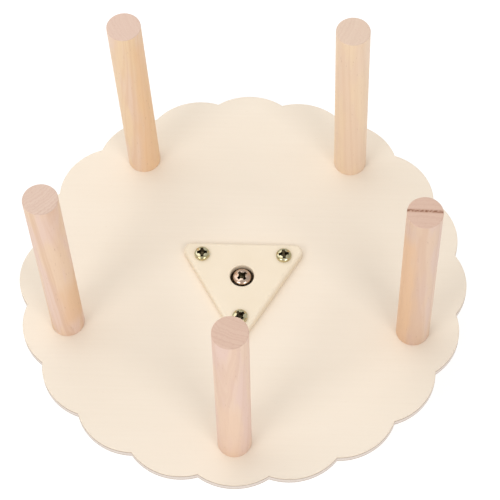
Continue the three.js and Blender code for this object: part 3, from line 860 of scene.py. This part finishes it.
def make_bearing():
    middle = (0, 0, BEARING_MIDDLE)
    half_width = (BEARING_TOP - BEARING_BOTTOM) / 2
    bore, outer = BEARING_BORE, BEARING_RADIUS
    opening = math.acos((OUTER_LAND - BALL_CIRCLE) / TRACK_RADIUS)
    track = arc(BALL_CIRCLE, 0, TRACK_RADIUS, opening, -opening, 14)
    profile = rounded([
        (OUTER_LAND, -half_width, 0.12), (outer, -half_width, 0.35), (outer, half_width, 0.35),
        (OUTER_LAND, half_width, 0.12), *track,
    ], closed=True)
    ring = turned("outer_ring_ground", profile, 96, middle, closed=True)
    settle(ring, "bearing_outer_ring", ground_steel)

    opening = math.acos((BALL_CIRCLE - INNER_LAND) / TRACK_RADIUS)
    track = arc(BALL_CIRCLE, 0, TRACK_RADIUS, math.pi + opening, math.pi - opening, 14)
    profile = rounded([
        (bore, -half_width, 0.25), (INNER_LAND, -half_width, 0.12), *track,
        (INNER_LAND, half_width, 0.12), (bore, half_width, 0.25),
    ], closed=True)
    ring = turned("inner_ring_ground", profile, 96, middle, closed=True)
    settle(ring, "bearing_inner_ring", ground_steel)

    for node, outward in (("upper_seal", 1), ("lower_seal", -1)):
        low, high = lows_and_highs(node)
        inner, outer_face = INNER_LAND + SEAL_GAP, high.z if outward > 0 else low.z
        inner_face = low.z if outward > 0 else high.z
        groove = outer_face - outward * SEAL_GROOVE["depth"]
        rim = high.x - SEAL_GROOVE["from_rim"]
        floor_start = rim - SEAL_GROOVE["slope"]
        floor_end = floor_start - SEAL_GROOVE["floor"]
        profile = rounded([
            (inner, inner_face, 0.05), (high.x, inner_face, 0.05), (high.x, outer_face, 0.05),
            (rim, outer_face), (floor_start, groove), (floor_end, groove),
            (floor_end - SEAL_GROOVE["slope"], outer_face), (inner, outer_face, 0.05),
        ], closed=True)
        settle(turned(f"{node}_moulded", profile, 96, closed=True), node, seal_rubber)

    for number in range(1, BALL_COUNT + 1):
        node = f"bearing_ball_{number}"
        meridian = arc(0, 0, BALL_RADIUS, -math.pi / 2, math.pi / 2, 20)
        profile = [(0, -BALL_RADIUS), *meridian[1:-1], (0, BALL_RADIUS)]
        settle(turned(f"{node}_ground", profile, 40, centre_of(node)), node, ground_steel)

    low, high = lows_and_highs("bearing_cage")
    cage = turned("bearing_cage_moulded", washer_profile(
        BALL_CIRCLE - CAGE_HALF_WIDTH, BALL_CIRCLE + CAGE_HALF_WIDTH, low.z, high.z, 0.12), 112, closed=True)
    pockets = []
    for number in range(1, BALL_COUNT + 1):
        meridian = arc(0, 0, BALL_RADIUS + CAGE_GAP, -math.pi / 2, math.pi / 2, 16)
        profile = [(0, meridian[0][1]), *meridian[1:-1], (0, meridian[-1][1])]
        pockets.append(turned("pocket", profile, 32, centre_of(f"bearing_ball_{number}")))
    settle(cut_away(cage, pockets), "bearing_cage", cage_nylon)


make_bearing()

# ---- Base ----


def make_base_board():
    barrel, barrel_top = INSERT_HOLE["radius"], BOARD_BOTTOM + INSERT_HOLE["depth"]
    bore = PIVOT_SCREW["shank"] + FIT_GAP
    middle = rounded([
        (barrel + 0.6, BOARD_BOTTOM), (barrel, BOARD_BOTTOM, 0.2), (barrel, barrel_top),
        (bore, barrel_top), (bore, BOARD_TOP, 0.2), (bore + 0.6, BOARD_TOP),
    ])
    holes = [(0, 0, middle, 48, True)]
    pilot = FOOT_SCREW["shank"] + FIT_GAP
    pilot_top = lows_and_highs("foot_screw_1")[1].z + FIT_GAP
    for angle in angles_round(FOOT_COUNT, math.pi / 4):
        place = on_circle(FOOT_CIRCLE, angle)
        steps = [(pilot + 0.3, BOARD_BOTTOM), (pilot, BOARD_BOTTOM + 0.3), (pilot, pilot_top)]
        holes.append((place.x, place.y, steps, 24, False))
    radius = lows_and_highs("base_board")[1].x
    wall = slab_wall(BOARD_BOTTOM, BOARD_TOP, BOARD_EASING)
    board = slab("base_board_wood", round_outline(radius, 180), wall, holes, wall_look=1)
    settle(board, "base_board", board_face, board_edge)


def make_foot(number):
    """A moulded rubber foot: a rounded skirt, a well for the screw's head and a shoulder under it."""
    node = f"foot_{number}"
    low, high = lows_and_highs(node)
    seat = lows_and_highs(f"foot_screw_{number}")[0].z + FOOT_SCREW["rise"]
    wide, shank = FOOT_SCREW["head"] + 2 * FIT_GAP, FOOT_SCREW["shank"] + FIT_GAP
    radius = (high.x - low.x) / 2
    profile = rounded([
        (wide, 0, 0.3), (radius - 1.4, 0, 0.9), (radius, high.z, 0.4),
        (shank, high.z), (shank, seat), (wide, seat, 0.2),
    ], closed=True)
    centre = centre_of(node)
    settle(turned(f"{node}_moulded", profile, 64, (centre.x, centre.y, 0), closed=True), node, foot_rubber)


def make_pivot_stack():
    inner = PIVOT_SCREW["shank"] + BORE_GAP
    for node, easing in (("base_washer", 0.2), ("spacer_bush", 0.25), ("pivot_collar", 0.2)):
        low, high = lows_and_highs(node)
        profile = washer_profile(inner, high.x, low.z, high.z, easing)
        settle(turned(f"{node}_turned", profile, 72, closed=True), node, plain_zinc)
    low, high = lows_and_highs("insert_nut")
    bore = PIVOT_SCREW["shank"] + THREAD_GAP
    profile = rounded([
        (bore, low.z, 0.3), (high.x, low.z, 0.4), (high.x, BOARD_BOTTOM, 0.2),
        (INSERT_BARREL, BOARD_BOTTOM, 0.2), (INSERT_BARREL, high.z, 0.3), (bore, high.z, 0.2),
    ], closed=True)
    settle(turned("insert_nut_turned", profile, 72, closed=True), "insert_nut", plain_zinc)


make_base_board()
for foot_number in range(1, FOOT_COUNT + 1):
    make_foot(foot_number)
make_pivot_stack()

# ---- Floor, light and camera ----

FLOOR_RADIUS = 9000
FLOOR_GREY = 0.35               # low, so that the floor throws little light up at the pegs
FLOOR_GLOW = 0.75               # keeps it white in the picture all the same
WORLD_STRENGTH = 0.575

# name, azimuth and elevation in degrees, distance and size in metres, power in watts
LIGHTS = (
    ("key_left", -40, 44, 3.2, 1.1, 18),
    ("key_right", 36, 44, 3.2, 1.1, 18),
    ("fill_back_left", -140, 58, 1.2, 1.2, 4.6),
)

# angles in degrees, target and distance in the part's millimetres, lens in the camera's
CAMERA = {"azimuth": 4.4, "elevation": 59.245, "roll": -2.57, "distance": 1139.9, "lens": 139.9}
CAMERA_TARGET = Vector((3.77, 20.27, PLATTER_TOP))


def make_floor():
    bm = bmesh.new()
    outline = [on_circle(FLOOR_RADIUS, angle) for angle in angles_round(96)]
    bm.faces.new(add_ring(bm, outline, 0))
    floor = make_object("floor", bm)
    look = Look("floor_white", roughness=0.9, specular=0.0)
    look.shader.inputs["Base Color"].default_value = (FLOOR_GREY, FLOOR_GREY, FLOOR_GREY, 1)
    look.shader.inputs["Emission Color"].default_value = (1, 1, 1, 1)
    look.shader.inputs["Emission Strength"].default_value = FLOOR_GLOW
    floor.data.materials.append(look.material)


def towards(azimuth, elevation):
    """Unit vector at that azimuth and elevation. Azimuth 0 is the front."""
    flat = math.cos(elevation)
    return Vector((math.sin(azimuth) * flat, -math.cos(azimuth) * flat, math.sin(elevation)))


def make_light(name, azimuth, elevation, distance, size, power):
    """A square softbox that faces the middle of the platter."""
    back = towards(math.radians(azimuth), math.radians(elevation))
    lamp = bpy.data.lights.new(name, "AREA")
    lamp.shape = "SQUARE"
    lamp.size = size
    lamp.energy = power
    light = bpy.data.objects.new(name, lamp)
    light.location = Vector((0, 0, PLATTER_TOP * MM)) + back * distance
    light.rotation_mode = "QUATERNION"
    light.rotation_quaternion = (-back).to_track_quat("-Z", "Y")
    bpy.context.scene.collection.objects.link(light)


def make_world(strength):
    world = bpy.data.worlds.new("studio")
    world.use_nodes = True
    background = world.node_tree.nodes["Background"]
    background.inputs["Color"].default_value = (1, 1, 1, 1)
    background.inputs["Strength"].default_value = strength
    bpy.context.scene.world = world


def make_camera():
    """Looks down at the platter from the front, slightly to the right of the first peg."""
    azimuth, elevation, roll = (math.radians(CAMERA[angle]) for angle in ("azimuth", "elevation", "roll"))
    back = towards(azimuth, elevation)
    right = Vector((0, 0, 1)).cross(back).normalized()
    up = back.cross(right)
    rolled_right = math.cos(roll) * right + math.sin(roll) * up
    rolled_up = back.cross(rolled_right)
    data = bpy.data.cameras.new("camera")
    data.lens = CAMERA["lens"]
    data.sensor_width = 36
    data.clip_start, data.clip_end = 0.05, 50
    camera = bpy.data.objects.new("camera", data)
    turn = Matrix((rolled_right, rolled_up, back)).transposed().to_4x4()
    camera.matrix_world = Matrix.Translation((CAMERA_TARGET + back * CAMERA["distance"]) * MM) @ turn
    bpy.context.scene.collection.objects.link(camera)
    bpy.context.scene.camera = camera


make_floor()
for light in LIGHTS:
    make_light(*light)
make_world(WORLD_STRENGTH)
make_camera()
bpy.context.scene.view_settings.view_transform = "Standard"
